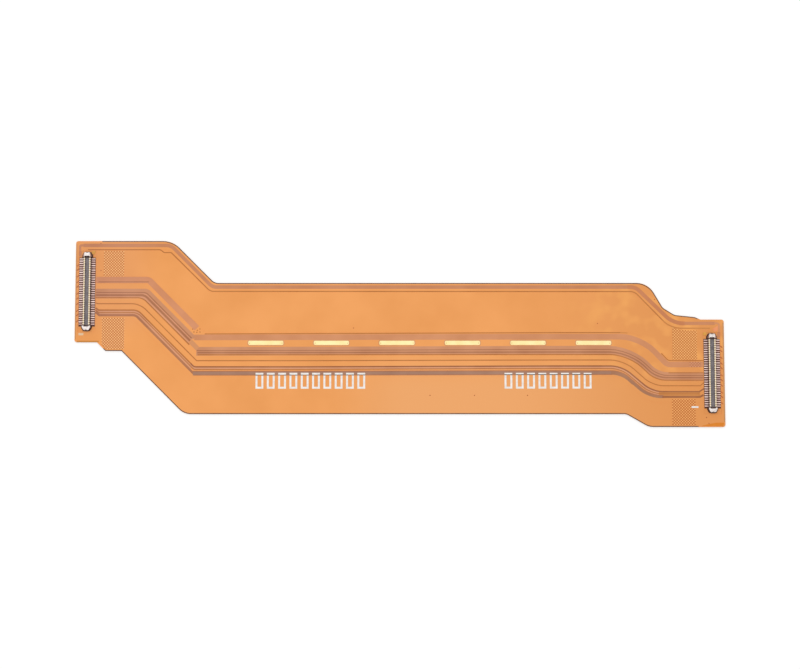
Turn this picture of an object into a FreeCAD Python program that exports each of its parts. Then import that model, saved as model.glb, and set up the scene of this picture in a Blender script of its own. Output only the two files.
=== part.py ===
import FreeCAD, Part
import math
import os

import Sketcher

# Flat flex cable: a two-layer printed film with a 60-way board plug on a stiffened lobe at each end.
# Millimetres. X runs along the cable, Y across it, and Z up out of the side that carries the plugs.
# The origin is under the middle of the film, on the surface that the two stiffeners lie on.

# Driving sizes. Runs are measured along the cable from the nearer end of the film, and rises up from
# a plug's middle. A shoulder share is a part of the drop from the strip's upper edge to the right
# lobe's, and a strip share is a part of the strip's width, down from its upper edge.
SIZES = [
    # film outline
    ("film_length", 100.1),
    ("film_width", 28.8),
    ("corner_radius", 0.36),
    ("left_lobe_height", 15.73),
    ("right_lobe_height", 16.57),
    ("strip_top_drop", 6.55),
    ("strip_bottom_rise", 1.98),
    ("left_top_run", 14.95),
    ("left_bend_radius", 3.5),
    ("strip_bend_radius", 1.4),
    ("shoulder_run", 11.63),
    ("shoulder_radius", 3.0),
    ("shoulder_steep_run_share", 0.396),
    ("shoulder_steep_drop_share", 0.678),
    ("shoulder_low_run_share", 0.317),
    ("shoulder_low_drop_share", 0.199),
    ("shoulder_foot_radius", 1.2),
    ("ledge_end_gap", 0.91),
    ("ledge_drop_share", 0.056),
    ("right_top_run", 3.57),
    ("right_bottom_run", 11.72),
    ("right_slope_run", 3.46),
    ("right_slope_radius", 2.3),
    ("left_bottom_run", 16.99),
    ("left_bottom_radius", 2.5),
    ("left_ledge_drop", 1.35),
    ("left_ledge_inset", 3.43),
    # layers of the film, from the bottom up
    ("stiffener_thickness", 0.2),
    ("adhesive_thickness", 0.05),
    ("coverlay_thickness", 0.03),
    ("copper_thickness", 0.02),
    ("base_thickness", 0.05),
    ("copper_margin", 0.36),
    ("gap_relief", 0.014),
    ("left_stiffener_length", 3.95),
    ("right_stiffener_length", 4.15),
    # routes of the etched gaps between the tracks
    ("edge_track_width", 1.4),
    ("edge_gap_width", 0.23),
    ("edge_gap_right_run", 13.95),
    ("plane_gap_width", 0.15),
    ("plane_gap_left_rise", 2.335),
    ("plane_gap_strip_share", 0.38),
    ("plane_gap_right_rise", 1.905),
    ("plane_gap_left_run", 11.43),
    ("plane_gap_right_run", 12.7),
    ("via_track_width", 1.05),
    ("bundle_left_rise", -0.155),
    ("bundle_strip_share", 0.509),
    ("bundle_right_rise", -0.365),
    ("bundle_left_run", 10.69),
    ("bundle_right_run", 14.28),
    ("fine_track_pitch", 0.42),
    ("power_track_pitch", 0.95),
    ("lower_bundle_width", 1.0),
    ("fine_gap_width", 0.15),
    ("wide_gap_width", 0.26),
    ("track_bend_radius", 0.8),
    ("sweep_bend_radius", 7.6),
    ("plane_gap_foot_radius", 1.0),
    ("bundle_foot_radius", 3.9),
    ("edge_gap_foot_radius", 4.8),
    # gold ground pads along the strip
    ("pad_count", 6),
    ("pad_length", 5.44),
    ("pad_width", 0.68),
    ("pad_pitch", 10.1),
    ("pad_row_start", 29.49),
    ("pad_rise", 1.03),
    ("gold_thickness", 0.012),
    # board plugs
    ("left_plug_run", 1.82),
    ("right_plug_run", 1.92),
    ("contacts_per_row", 30),
    ("contact_pitch", 0.35),
    ("contact_width", 0.15),
    ("contact_thickness", 0.06),
    ("contact_depth", 0.3),
    ("tail_length", 0.655),
    ("wall_thickness", 0.15),
    ("trench_width", 0.7),
    ("trench_floor", 0.2),
    ("housing_height", 0.54),
    ("housing_side_gap", 0.2),
    ("trench_end_margin", 0.19),
    ("housing_end_length", 0.72),
    ("housing_end_width", 1.48),
    ("housing_tip_width", 0.92),
    ("housing_chamfer", 0.4),
    ("fitting_inset", 0.06),
    ("fitting_dip_width", 0.76),
    ("fitting_dip_depth", 0.2),
    ("fitting_leg_width", 0.6),
    ("fitting_foot", 0.1),
    ("land_margin", 0.03),
    ("solder_thickness", 0.02),
    ("plug_window_margin", 0.14),
]

doc = FreeCAD.newDocument("flat_flex_cable")
sheet = doc.addObject("Spreadsheet::Sheet", "Sizes")
for row, (alias, number) in enumerate(SIZES, start=1):
    sheet.set(f"A{row}", alias)
    sheet.set(f"B{row}", str(number))
    sheet.setAlias(f"B{row}", alias)
doc.recompute()

# Expressions shared by several pieces
HALF = "Sizes.film_length / 2"
TOP = "Sizes.film_width / 2"
STRIP_TOP = f"({TOP} - Sizes.strip_top_drop)"
STRIP_BOTTOM = f"(-{TOP} + Sizes.strip_bottom_rise)"
RIGHT_TOP = f"(-{TOP} + Sizes.right_lobe_height)"
LEFT_BOTTOM = f"({TOP} - Sizes.left_lobe_height)"
ADHESIVE_Z = "Sizes.stiffener_thickness"
LOWER_COVER_Z = f"({ADHESIVE_Z} + Sizes.adhesive_thickness)"
LOWER_COPPER_Z = f"({LOWER_COVER_Z} + Sizes.coverlay_thickness)"
BASE_Z = f"({LOWER_COPPER_Z} + Sizes.copper_thickness)"
UPPER_COPPER_Z = f"({BASE_Z} + Sizes.base_thickness)"
LAND_TOP_Z = f"({UPPER_COPPER_Z} + Sizes.copper_thickness)"
PLUG_Z = f"({LAND_TOP_Z} + Sizes.solder_thickness)"
PLUGS = {
    "left": (f"(-{HALF} + Sizes.left_plug_run)", f"({TOP} + {LEFT_BOTTOM}) / 2"),
    "right": (f"({HALF} - Sizes.right_plug_run)", f"({RIGHT_TOP} - {TOP}) / 2"),
}
ROW_HALF = "(Sizes.contacts_per_row - 1) * Sizes.contact_pitch / 2"
WALL_IN = "Sizes.trench_width / 2"
WALL_OUT = f"({WALL_IN} + Sizes.wall_thickness)"
SIDE_HALF = f"({ROW_HALF} + Sizes.housing_side_gap)"
HOUSING_HALF = f"({SIDE_HALF} + Sizes.housing_end_length)"
PAD_HALVES = ("Sizes.pad_length / 2", "Sizes.pad_width / 2")
PAD_ROW_X = f"(-{HALF} + Sizes.pad_row_start)"
PAD_ROW_Y = (f"({STRIP_TOP} - Sizes.bundle_strip_share * ({STRIP_TOP} - {STRIP_BOTTOM})"
             " + Sizes.pad_rise)")
TAIL_END = f"({WALL_OUT} + Sizes.contact_thickness + Sizes.tail_length)"
FOOT_END = f"({HOUSING_HALF} + Sizes.contact_thickness + Sizes.fitting_foot)"
WINDOW_X = f"({TAIL_END} + Sizes.plug_window_margin)"
WINDOW_Y = f"({FOOT_END} + Sizes.plug_window_margin)"


# Most of a straight run that the bends at its two ends may take up
BEND_SHARE = 0.9


def value(expression):
    """The number that an expression of sheet sizes gives now."""
    return float(sheet.evalExpression(expression))


def film_corners():
    """Corners of the film, clockwise from the upper left: x, y and rounding radius, if any."""
    left, right = f"-{HALF}", HALF
    drop = f"({STRIP_TOP} - {RIGHT_TOP})"
    steep_x = f"({right} - Sizes.shoulder_run + Sizes.shoulder_steep_run_share * {drop})"
    steep_y = f"({STRIP_TOP} - Sizes.shoulder_steep_drop_share * {drop})"
    low_x = f"({steep_x} + Sizes.shoulder_low_run_share * {drop})"
    low_y = f"({steep_y} - Sizes.shoulder_low_drop_share * {drop})"
    left_strip_x = f"({left} + Sizes.left_bottom_run)"
    ledge_x = f"({left} + Sizes.left_ledge_inset + Sizes.left_ledge_drop)"
    ledge_y = f"({LEFT_BOTTOM} - Sizes.left_ledge_drop)"
    ledge_end_x = f"({left_strip_x} + {STRIP_BOTTOM} - {ledge_y})"
    return [
        (left, TOP, "Sizes.corner_radius"),
        (f"{left} + Sizes.left_top_run", TOP, "Sizes.left_bend_radius"),
        (f"{left} + Sizes.left_top_run + Sizes.strip_top_drop", STRIP_TOP, "Sizes.strip_bend_radius"),
        (f"{right} - Sizes.shoulder_run", STRIP_TOP, "Sizes.shoulder_radius"),
        (steep_x, steep_y, "Sizes.shoulder_foot_radius"),
        (low_x, low_y, "Sizes.shoulder_foot_radius"),
        (f"{right} - Sizes.right_top_run - Sizes.ledge_end_gap",
         f"{low_y} - Sizes.ledge_drop_share * {drop}", None),
        (f"{right} - Sizes.right_top_run", RIGHT_TOP, None),
        (right, RIGHT_TOP, "Sizes.corner_radius"),
        (right, f"-{TOP}", "Sizes.corner_radius"),
        (f"{right} - Sizes.right_bottom_run", f"-{TOP}", "Sizes.right_slope_radius"),
        (f"{right} - Sizes.right_bottom_run - Sizes.right_slope_run", STRIP_BOTTOM,
         "Sizes.strip_bend_radius"),
        (left_strip_x, STRIP_BOTTOM, "Sizes.left_bottom_radius"),
        (ledge_end_x, ledge_y, None),
        (ledge_x, ledge_y, None),
        (f"{left} + Sizes.left_ledge_inset", LEFT_BOTTOM, None),
        (left, LEFT_BOTTOM, "Sizes.corner_radius"),
    ]


def corner_arc(before, corner, after, radius):
    """Start, middle and end of the arc that rounds a corner."""
    point = FreeCAD.Vector(*corner, 0)
    back = (FreeCAD.Vector(*before, 0) - point).normalize()
    ahead = (FreeCAD.Vector(*after, 0) - point).normalize()
    half_angle = back.getAngle(ahead) / 2
    reach = radius / math.tan(half_angle)
    middle = (back + ahead).normalize() * (radius / math.sin(half_angle) - radius)
    return point + back * reach, point + middle, point + ahead * reach


def add_arc(sketch, start, middle, end, radius):
    """Adds a corner's arc; gives its number and which of its two ends is the start and the last."""
    chord = (start + end) * 0.5
    centre = middle + (chord - middle).normalize() * radius
    angles = [math.atan2(point.y - centre.y, point.x - centre.x) for point in (start, end)]
    clockwise = math.remainder(angles[1] - angles[0], 2 * math.pi) < 0
    if clockwise:
        angles.reverse()
    circle = Part.Circle(centre, FreeCAD.Vector(0, 0, 1), radius)
    arc = sketch.addGeometry(Part.ArcOfCircle(circle, *angles))
    return (arc, 2, 1) if clockwise else (arc, 1, 2)


def draw_outline(sketch, corners):
    """Draws a closed outline of lines and tangent arcs, each corner bound to its expressions."""
    count = len(corners)
    points = [(value(x), value(y)) for x, y, _ in corners]
    rounds = {i: corner_arc(points[i - 1], points[i], points[(i + 1) % count], value(radius))
              for i, (_, _, radius) in enumerate(corners) if radius}
    sharp = {i: (FreeCAD.Vector(*points[i], 0),) * 3 for i in range(count) if i not in rounds}
    ends = {**rounds, **sharp}
    lines = [sketch.addGeometry(Part.LineSegment(ends[i][2], ends[(i + 1) % count][0]))
             for i in range(count)]
    rules = []
    bound = []
    for i, (x, y, radius) in enumerate(corners):
        before, after = lines[i - 1], lines[i]
        if radius:
            arc, first, last = add_arc(sketch, *rounds[i], value(radius))
            rules.append(Sketcher.Constraint("Tangent", before, 2, arc, first))
            rules.append(Sketcher.Constraint("Tangent", arc, last, after, 1))
            bound.append((len(rules), radius))
            rules.append(Sketcher.Constraint("Radius", arc, value(radius)))
            node = sketch.addGeometry(Part.Point(FreeCAD.Vector(*points[i], 0)), True)
            rules.append(Sketcher.Constraint("PointOnObject", node, 1, before))
            rules.append(Sketcher.Constraint("PointOnObject", node, 1, after))
        else:
            node = after
            rules.append(Sketcher.Constraint("Coincident", before, 2, after, 1))
        bound.append((len(rules), x))
        rules.append(Sketcher.Constraint("DistanceX", -1, 1, node, 1, points[i][0]))
        bound.append((len(rules), y))
        rules.append(Sketcher.Constraint("DistanceY", -1, 1, node, 1, points[i][1]))
    first_rule = sketch.ConstraintCount
    sketch.addConstraint(rules)
    for index, expression in bound:
        sketch.setExpression(f"Constraints[{first_rule + index}]", expression)


def rectangle(half_x, half_y, x="0", y="0"):
    """Sharp corners of a rectangle about a centre."""
    return [(f"{x} - {half_x}", f"{y} + {half_y}", None), (f"{x} + {half_x}", f"{y} + {half_y}", None),
            (f"{x} + {half_x}", f"{y} - {half_y}", None), (f"{x} - {half_x}", f"{y} - {half_y}", None)]


def new_body(label, x="0", y="0", z="0", turn=0):
    """A body that stands at the given place, turned about the vertical by a number of degrees."""
    body = doc.addObject("PartDesign::Body", label)
    body.Label = label
    body.Placement = FreeCAD.Placement(FreeCAD.Vector(), FreeCAD.Rotation(FreeCAD.Vector(0, 0, 1), turn))
    for axis, expression in (("x", x), ("y", y), ("z", z)):
        body.setExpression(f".Placement.Base.{axis}", expression)
    return body


def new_sketch(body, name, outlines, plane="XY_Plane", height=None):
    """A sketch of closed outlines on one of the body's own planes."""
    sketch = body.newObject("Sketcher::SketchObject", f"{body.Label}_{name}")
    origin = [item for item in body.Origin.OriginFeatures if item.Role == plane][0]
    sketch.AttachmentSupport = [(origin, "")]
    sketch.MapMode = "FlatFace"
    if height:
        sketch.setExpression(".AttachmentOffset.Base.z", height)
    for corners in outlines:
        draw_outline(sketch, corners)
    return sketch


def pad(body, name, outlines, length, plane="XY_Plane", height=None, both_ways=False):
    """Material from a sketch, upwards from its plane or to both sides of it."""
    feature = body.newObject("PartDesign::Pad", f"{body.Label}_{name}")
    feature.Profile = new_sketch(body, f"{name}_sketch", outlines, plane, height)
    if both_ways:
        feature.Midplane = True
    feature.setExpression("Length", length)
    return feature


def pocket(body, name, outlines, length, height):
    """A pocket cut downwards from a sketch at a height."""
    feature = body.newObject("PartDesign::Pocket", f"{body.Label}_{name}")
    feature.Profile = new_sketch(body, f"{name}_sketch", outlines, height=height)
    feature.setExpression("Length", length)
    return feature


def repeat(body, original, axis, length, count):
    """Repeats a feature along one of the body's own axes, with even steps over a length."""
    doc.recompute()
    pattern = body.newObject("PartDesign::LinearPattern", f"{original.Name}_pattern")
    pattern.Originals = [original]
    pattern.Direction = ([item for item in body.Origin.OriginFeatures if item.Role == axis][0], [""])
    pattern.setExpression("Length", length)
    pattern.setExpression("Occurrences", count)
    body.Tip = pattern


def repeat_along_row(body, original):
    """Repeats a feature once for each contact, from the lower end of the row up."""
    repeat(body, original, "Y_Axis", f"2 * {ROW_HALF}", "Sizes.contacts_per_row")


def shape_piece(label, shape, bottom):
    """A piece whose shape is worked out here, raised to the height of its layer."""
    piece = doc.addObject("Part::Feature", label)
    piece.Label = label
    piece.Shape = shape
    piece.Placement = FreeCAD.Placement()
    piece.setExpression(".Placement.Base.z", bottom)
    return piece


def cut_piece(label, base, tool):
    """The base with the tool taken out of it."""
    piece = doc.addObject("Part::Cut", label)
    piece.Label = label
    piece.Base = base
    piece.Tool = tool
    return piece


def outline_face(corners):
    """A flat face from corners given as numbers: x, y and radius."""
    count = len(corners)
    ends = []
    for i, (x, y, radius) in enumerate(corners):
        if radius > 0:
            ends.append(corner_arc(corners[i - 1][:2], (x, y), corners[(i + 1) % count][:2], radius))
        else:
            ends.append((FreeCAD.Vector(x, y, 0),) * 3)
    edges = []
    for i in range(count):
        start, middle, end = ends[i]
        if corners[i][2] > 0:
            edges.append(Part.Arc(start, middle, end).toShape())
        edges.append(Part.LineSegment(end, ends[(i + 1) % count][0]).toShape())
    return Part.Face(Part.Wire(edges))


def shifted(corners, distance, closed):
    """The line of corners moved sideways to its left, with every arc kept concentric."""
    count = len(corners)
    moved = []
    for i, (x, y, radius) in enumerate(corners):
        before = corners[i - 1][:2] if closed or i else None
        after = corners[(i + 1) % count][:2] if closed or i < count - 1 else None
        into = math.atan2(y - before[1], x - before[0]) if before else None
        out = math.atan2(after[1] - y, after[0] - x) if after else None
        into = out if into is None else into
        out = into if out is None else out
        turn = math.remainder(out - into, 2 * math.pi)
        middle = into + turn / 2 + math.pi / 2
        reach = distance / math.cos(turn / 2)
        new_radius = max(radius - math.copysign(distance, turn), 0) if radius else 0
        moved.append((x + reach * math.cos(middle), y + reach * math.sin(middle), new_radius))
    return moved


def fitted(route):
    """The route with both bends of a run made smaller together where they wouldn't fit on it."""
    reach = [0.0] * len(route)
    for i in range(1, len(route) - 1):
        (x0, y0), (x, y), (x1, y1) = (corner[:2] for corner in route[i - 1:i + 2])
        turn = math.remainder(math.atan2(y1 - y, x1 - x) - math.atan2(y - y0, x - x0), 2 * math.pi)
        reach[i] = route[i][2] * math.tan(abs(turn) / 2)
    share = [1.0] * len(route)
    for i in range(len(route) - 1):
        run = math.dist(route[i][:2], route[i + 1][:2])
        if reach[i] + reach[i + 1] > BEND_SHARE * run:
            fit = BEND_SHARE * run / (reach[i] + reach[i + 1])
            share[i], share[i + 1] = min(share[i], fit), min(share[i + 1], fit)
    return [(x, y, radius * share[i]) for i, (x, y, radius) in enumerate(route)]


def ribbon_face(route, width):
    """A flat ribbon of even width along an open route."""
    route = fitted(route)
    left = shifted(route, width / 2, closed=False)
    right = shifted(route, -width / 2, closed=False)
    return outline_face(left + right[::-1])


def slab(face, thickness):
    """A flat face made into a plate that stands on it."""
    return face.extrude(FreeCAD.Vector(0, 0, thickness))


# The film's three insulating sheets and the two stiffeners bonded under its lobes

def base_film():
    body = new_body("base_film", z=BASE_Z)
    pad(body, "sheet", [film_corners()], "Sizes.base_thickness")
    return body


def coverlay_blank(label, bottom):
    """A cover sheet before it is pressed over the copper, as thick as both together."""
    body = new_body(label, z=bottom)
    pad(body, "sheet", [film_corners()], "Sizes.coverlay_thickness + Sizes.copper_thickness")
    return body


def end_plate(label, end, bottom, thickness):
    """A plate with the outline of one plug's end of the film."""
    if end == "left":
        edge, inner, low, high = f"-{HALF}", f"-{HALF} + Sizes.left_stiffener_length", LEFT_BOTTOM, TOP
    else:
        edge, inner, low, high = HALF, f"{HALF} - Sizes.right_stiffener_length", f"-{TOP}", RIGHT_TOP
    body = new_body(label, z=bottom)
    corners = [(edge, high, "Sizes.corner_radius"), (edge, low, "Sizes.corner_radius"),
               (inner, low, None), (inner, high, None)]
    pad(body, "plate", [corners], thickness)
    return body


# Copper: two foils, the upper one etched into tracks that run from plug to plug

def copper_face(with_windows):
    """The area that a foil covers: the film less its margin, and less the ends round the plugs."""
    outline = [(value(x), value(y), value(radius) if radius else 0) for x, y, radius in film_corners()]
    face = outline_face(shifted(outline, -value("Sizes.copper_margin"), closed=True))
    if not with_windows:
        return face
    half_y = value(WINDOW_Y)
    for side, (x, y) in PLUGS.items():
        outward = -1 if side == "left" else 1
        inner = value(x) - outward * value(WINDOW_X)
        outer = outward * value("Sizes.film_length")
        corners = [(inner, value(y) + half_y, 0), (outer, value(y) + half_y, 0),
                   (outer, value(y) - half_y, 0), (inner, value(y) - half_y, 0)]
        face = face.cut(outline_face(corners))
    return face


def strip_route(prefix, offset=0.0):
    """A route from plug to plug with the levels and bends of this prefix, moved down by an offset."""
    left_x = value(f"-{HALF} + Sizes.{prefix}_left_run")
    right_x = value(f"{HALF} - Sizes.{prefix}_right_run")
    left_y = value(f"{PLUGS['left'][1]} + Sizes.{prefix}_left_rise")
    strip_y = value(f"{STRIP_TOP} - Sizes.{prefix}_strip_share * ({STRIP_TOP} - {STRIP_BOTTOM})")
    right_y = value(f"{PLUGS['right'][1]} + Sizes.{prefix}_right_rise")
    bend = value("Sizes.track_bend_radius")
    sweep = max(value("Sizes.sweep_bend_radius") - offset, bend)
    foot = value(f"Sizes.{prefix}_foot_radius")
    line = shifted([
        (value(f"{PLUGS['left'][0]} + {TAIL_END}"), left_y, 0),
        (left_x, left_y, 0),
        (left_x + left_y - strip_y, strip_y, 0),
        (right_x, strip_y, 0),
        (right_x + strip_y - right_y, right_y, 0),
        (value(f"{PLUGS['right'][0]} - {TAIL_END}"), right_y, 0),
    ], -offset, closed=False)
    return [(x, y, radius) for (x, y, _), radius in zip(line, (0, bend, 0, sweep, foot, 0))]


def edge_route():
    """The gap that keeps the edge tracks apart, parallel to the film's upper edge."""
    inset = value("Sizes.edge_track_width")
    slant = inset * math.tan(math.radians(45) / 2)
    left_x = value(f"-{HALF} + Sizes.left_top_run") - slant
    top_y = value(TOP) - inset
    strip_y = value(STRIP_TOP) - inset
    right_x = value(f"{HALF} - Sizes.edge_gap_right_run")
    right_y = value(RIGHT_TOP) - inset
    left_plug, right_plug = (value(PLUGS[side][0]) for side in ("left", "right"))
    left_window = value(f"{PLUGS['left'][1]} + {SIDE_HALF}")
    right_window = value(f"{PLUGS['right'][1]} + {SIDE_HALF}")
    narrow = value("Sizes.strip_bend_radius")
    wide = value("Sizes.edge_gap_foot_radius")
    return [
        (left_plug, left_window, 0),
        (left_plug, top_y, 0),
        (left_x, top_y, narrow),
        (left_x + top_y - strip_y, strip_y, narrow),
        (right_x, strip_y, narrow),
        (right_x + strip_y - right_y, right_y, wide),
        (right_plug, right_y, 0),
        (right_plug, right_window, 0),
    ]


def via_route(plane_route):
    """The lower side of the short track that runs beside the upper ground plane to its vias."""
    width = value("Sizes.via_track_width")
    start, bend, end = shifted(plane_route[:3], -width, closed=False)
    stop_y = plane_route[2][1] + width
    stop_x = end[0] + end[1] - stop_y
    return [start, bend, (stop_x, stop_y, 0), (stop_x + width * math.sqrt(2), stop_y, 0)]


def etched_gaps():
    """Every gap etched in the upper foil, as flat ribbons from the film's upper edge down."""
    fine = value("Sizes.fine_gap_width")
    wide = value("Sizes.wide_gap_width")
    fine_pitch = value("Sizes.fine_track_pitch")
    power_pitch = value("Sizes.power_track_pitch")
    plane = strip_route("plane_gap")
    gaps = [
        ribbon_face(edge_route(), value("Sizes.edge_gap_width")),
        ribbon_face(plane, value("Sizes.plane_gap_width")),
        ribbon_face(via_route(plane), value("Sizes.plane_gap_width")),
    ]
    bundle = [(0, fine), (fine_pitch, wide), (fine_pitch, fine), (power_pitch, fine),
              (power_pitch, wide), (fine_pitch, fine), (value("Sizes.lower_bundle_width"), fine)]
    offset = 0.0
    for step, width in bundle:
        offset += step
        gaps.append(ribbon_face(strip_route("bundle", offset), width))
    return gaps


TRACKS = [
    "edge_tracks", "upper_ground_plane", "via_track", "pad_rail", "fine_track_1", "fine_track_2",
    "power_track_1", "power_track_2", "fine_track_3", "lower_bundle", "lower_ground_plane",
]


def bottom_ground_foil():
    """The lower foil, left whole as the ground under all the tracks."""
    foil = slab(copper_face(with_windows=False), value("Sizes.copper_thickness"))
    return shape_piece("bottom_ground_foil", foil, LOWER_COPPER_Z)


def upper_tracks(gaps):
    """The conductors that the etched gaps leave of the upper foil, from the upper edge down."""
    thickness = value("Sizes.copper_thickness")
    whole = slab(copper_face(with_windows=True), thickness)
    conductors = whole.cut([slab(gap, thickness) for gap in gaps]).Solids
    conductors.sort(key=lambda solid: -solid.BoundBox.YMax)
    if len(conductors) != len(TRACKS):
        raise ValueError(f"the gaps leave {len(conductors)} conductors, not {len(TRACKS)}")
    return [shape_piece(label, solid, UPPER_COPPER_Z) for label, solid in zip(TRACKS, conductors)]


def bottom_coverlay(lower_foil):
    """The cover sheet under the film, pressed up round the lower foil."""
    return cut_piece("bottom_coverlay", coverlay_blank("bottom_coverlay_blank", LOWER_COVER_Z), lower_foil)


def top_coverlay(gaps):
    """The cover sheet over the tracks: open at plugs and pads, and sunk a little over each gap."""
    thickness = "Sizes.coverlay_thickness + Sizes.copper_thickness"
    blank = coverlay_blank("top_coverlay_blank", UPPER_COPPER_Z)
    windows = [rectangle(WINDOW_X, WINDOW_Y, *PLUGS[side]) for side in PLUGS]
    pocket(blank, "plug_windows", windows, thickness, thickness)
    first = rectangle(*PAD_HALVES, PAD_ROW_X, PAD_ROW_Y)
    pad_window = pocket(blank, "pad_window", [first], thickness, thickness)
    repeat(blank, pad_window, "X_Axis", "Sizes.pad_pitch * (Sizes.pad_count - 1)", "Sizes.pad_count")
    sunk = value("Sizes.gap_relief")
    recess = slab(copper_face(with_windows=True), value("Sizes.copper_thickness"))
    grooves = [slab(gap, sunk * 2) for gap in gaps]
    for groove in grooves:
        groove.translate(FreeCAD.Vector(0, 0, value(thickness) - sunk))
    hollow = Part.Compound([recess] + grooves)
    return cut_piece("top_coverlay", blank, shape_piece("top_coverlay_hollow", hollow, UPPER_COPPER_Z))


def ground_pad(number):
    """One gold-plated pad, seated on the pad rail in its window of the top cover sheet."""
    x = f"({PAD_ROW_X} + {number - 1} * Sizes.pad_pitch)"
    body = new_body(f"ground_pad_{number}", x, PAD_ROW_Y, LAND_TOP_Z)
    pad(body, "plate", [rectangle(*PAD_HALVES)], "Sizes.gold_thickness")
    return body


# Plugs: a moulded housing, two rows of formed contacts and two hold-down fittings on tinned lands

def solder_lands(side):
    """The tinned lands under both rows of contact tails."""
    x, y = PLUGS[side]
    body = new_body(f"{side}_solder_lands", x, y, UPPER_COPPER_Z)
    half_width = "(Sizes.contact_width / 2 + Sizes.land_margin)"
    inner, outer = WALL_OUT, f"({TAIL_END} + Sizes.land_margin)"
    centre, half_length = f"({inner} + {outer}) / 2", f"({outer} - {inner}) / 2"
    lands = [rectangle(half_length, half_width, f"{sign}{centre}", f"-({ROW_HALF})") for sign in ("", "-")]
    first = pad(body, "lands", lands, "Sizes.copper_thickness + Sizes.solder_thickness")
    repeat_along_row(body, first)
    return body


def fitting_lands(side):
    """The two tinned lands under the feet of the hold-down fittings."""
    x, y = PLUGS[side]
    body = new_body(f"{side}_fitting_lands", x, y, UPPER_COPPER_Z)
    inner, outer = HOUSING_HALF, f"({FOOT_END} + Sizes.land_margin)"
    centre, half_length = f"({inner} + {outer}) / 2", f"({outer} - {inner}) / 2"
    half_width = "(Sizes.fitting_leg_width / 2 + Sizes.land_margin)"
    lands = [rectangle(half_width, half_length, "0", f"{sign}{centre}") for sign in ("", "-")]
    pad(body, "lands", lands, "Sizes.copper_thickness + Sizes.solder_thickness")
    return body


def plug_housing(side):
    """The moulded bar: two walls along a trench, and wider ends with chamfered corners."""
    x, y = PLUGS[side]
    body = new_body(f"{side}_plug_housing", x, y, PLUG_Z)
    end, tip = "Sizes.housing_end_width / 2", "Sizes.housing_tip_width / 2"
    chamfer_y = f"({HOUSING_HALF} - Sizes.housing_chamfer)"
    quarter = [(WALL_OUT, SIDE_HALF), (end, SIDE_HALF), (end, chamfer_y), (tip, HOUSING_HALF)]
    lower_right = [(qx, f"-{qy}", None) for qx, qy in quarter]
    lower_left = [(f"-{qx}", f"-{qy}", None) for qx, qy in quarter[::-1]]
    upper_left = [(f"-{qx}", qy, None) for qx, qy in quarter]
    upper_right = [(qx, qy, None) for qx, qy in quarter[::-1]]
    pad(body, "bar", [lower_right + lower_left + upper_left + upper_right], "Sizes.housing_height")
    trench = rectangle(WALL_IN, f"({SIDE_HALF} + Sizes.trench_end_margin)")
    pocket(body, "trench", [trench], "Sizes.housing_height - Sizes.trench_floor", "Sizes.housing_height")
    return body


def contact_row(side, place):
    """Thirty strips bent over one wall, each with a leg in the trench and a tail out to its land."""
    x, y = PLUGS[side]
    towards_right = (side == "right") == (place == "outer")
    body = new_body(f"{side}_plug_{place}_contacts", x, y, PLUG_Z, 0 if towards_right else 180)
    inner, outer = f"{WALL_IN} - Sizes.contact_thickness", f"{WALL_OUT} + Sizes.contact_thickness"
    low, high = "Sizes.contact_thickness", "Sizes.housing_height + Sizes.contact_thickness"
    leg_end = f"{high} - Sizes.contact_depth"
    strip = [(inner, leg_end), (inner, high), (outer, high), (outer, low), (TAIL_END, low),
             (TAIL_END, "0"), (WALL_OUT, "0"), (WALL_OUT, "Sizes.housing_height"),
             (WALL_IN, "Sizes.housing_height"), (WALL_IN, leg_end)]
    first = pad(body, "strip", [[(sx, sz, None) for sx, sz in strip]], "Sizes.contact_width",
                plane="XZ_Plane", height=ROW_HALF, both_ways=True)
    repeat_along_row(body, first)
    return body


def hold_down_fitting(side, place):
    """A bent plate over one end of the housing, with a leg down its end face and a foot."""
    x, y = PLUGS[side]
    body = new_body(f"{side}_plug_{place}_fitting", x, y, PLUG_Z, 0 if place == "upper" else 180)
    wide = "(Sizes.housing_end_width / 2 - Sizes.fitting_inset)"
    tip = "(Sizes.housing_tip_width / 2 - Sizes.fitting_inset)"
    start_y, dip_y = f"{SIDE_HALF} + Sizes.fitting_inset", f"{SIDE_HALF} + Sizes.fitting_dip_depth"
    chamfer_y, end_y = f"{HOUSING_HALF} - Sizes.housing_chamfer", f"{HOUSING_HALF} + Sizes.contact_thickness"
    dip = "Sizes.fitting_dip_width / 2"
    half = [(f"({dip} - Sizes.contact_thickness)", dip_y), (dip, start_y), (wide, start_y),
            (wide, chamfer_y), (tip, end_y)]
    plate = [(f"-{px}", py, None) for px, py in half] + [(px, py, None) for px, py in half[::-1]]
    pad(body, "plate", [plate], "Sizes.contact_thickness", height="Sizes.housing_height")
    leg_half, leg_centre = "Sizes.fitting_leg_width / 2", f"({HOUSING_HALF} + {end_y}) / 2"
    leg = rectangle(leg_half, "Sizes.contact_thickness / 2", "0", leg_centre)
    pad(body, "leg", [leg], "Sizes.housing_height")
    foot = rectangle(leg_half, f"({FOOT_END} - {HOUSING_HALF}) / 2", "0", f"({FOOT_END} + {HOUSING_HALF}) / 2")
    pad(body, "foot", [foot], "Sizes.contact_thickness")
    return body


def plug(side):
    """All the pieces of the plug at one end of the cable."""
    return [
        solder_lands(side),
        fitting_lands(side),
        plug_housing(side),
        contact_row(side, "outer"),
        contact_row(side, "inner"),
        hold_down_fitting(side, "upper"),
        hold_down_fitting(side, "lower"),
    ]


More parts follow.
